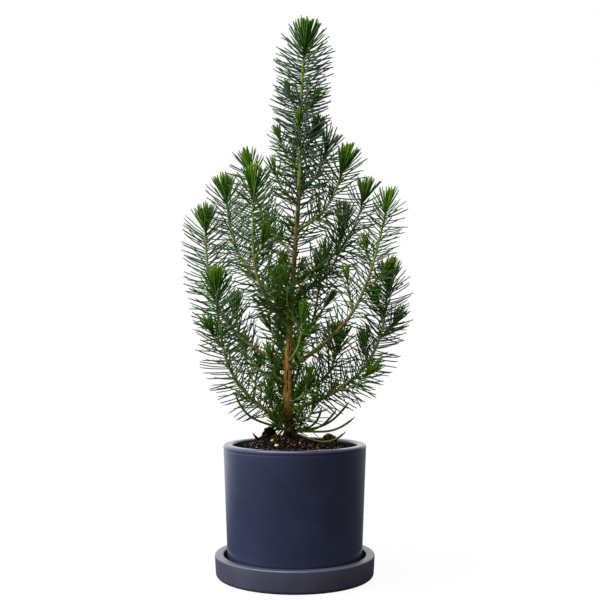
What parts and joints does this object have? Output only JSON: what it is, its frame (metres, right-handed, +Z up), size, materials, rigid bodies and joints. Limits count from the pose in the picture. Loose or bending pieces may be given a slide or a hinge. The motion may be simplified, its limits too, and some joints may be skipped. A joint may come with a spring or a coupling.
{
  "type": "potted silver crest stone pine",
  "caption": "Young stone pine in soft blue-green juvenile needles, upswept limbs round one leader, in a dark slate cylindrical pot on a matching saucer.",
  "frame": {"origin": "centre of the saucer's flat underside, on the pot's axis, at the level of the surface it stands on", "axes": "+Z up along the trunk, -Y towards the viewer of the picture, +X to that viewer's right"},
  "size_m": [0.2312, 0.1811, 0.5433],
  "materials": {
    "pot": "satin",
    "saucer": "satin",
    "potting_mix": "matte",
    "trunk_bark": "matte",
    "bough_bark": "matte",
    "needles": "matte"
  },
  "bodies": {
    "root": {"bough_back_left": "bough_bark", "bough_back_right": "bough_bark", "bough_crest_right": "bough_bark", "bough_front_left": "bough_bark", "bough_inner_left": "bough_bark", "bough_inner_right": "bough_bark", "bough_low_left": "bough_bark", "bough_low_right": "bough_bark", "bough_main_right": "bough_bark", "bough_mid_left": "bough_bark", "bough_rear_high": "bough_bark", "bough_rear_low": "bough_bark", "bough_rear_low_left": "bough_bark", "bough_rear_low_right": "bough_bark", "bough_rear_mid": "bough_bark", "bough_upper_left": "bough_bark", "bough_upper_right": "bough_bark", "leader_1": "needles", "leader_2": "needles", "leader_3": "needles", "needles_back_left": "needles", "needles_back_right": "needles", "needles_crest_right": "needles", "needles_front_left": "needles", "needles_inner_left": "needles", "needles_inner_right": "needles", "needles_low_left": "needles", "needles_low_right": "needles", "needles_main_right": "needles", "needles_mid_left": "needles", "needles_rear_high": "needles", "needles_rear_low": "needles", "needles_rear_low_left": "needles", "needles_rear_low_right": "needles", "needles_rear_mid": "needles", "needles_upper_left": "needles", "needles_upper_right": "needles", "pot": "pot", "saucer": "saucer", "seed_leaves": "needles", "shoot_back": "needles", "shoot_crest_left": "needles", "shoot_crest_right": "needles", "shoot_foot_back": "needles", "shoot_foot_front": "needles", "shoot_foot_left": "needles", "shoot_foot_right": "needles", "shoot_foot_tuft": "needles", "shoot_left": "needles", "shoot_low_front": "needles", "shoot_low_left": "needles", "shoot_mid_front": "needles", "shoot_right": "needles", "shoot_top_front": "needles", "shoot_top_left": "needles", "shoot_top_right": "needles", "soil": "potting_mix", "trunk": "trunk_bark"}
  },
  "joints": []
}
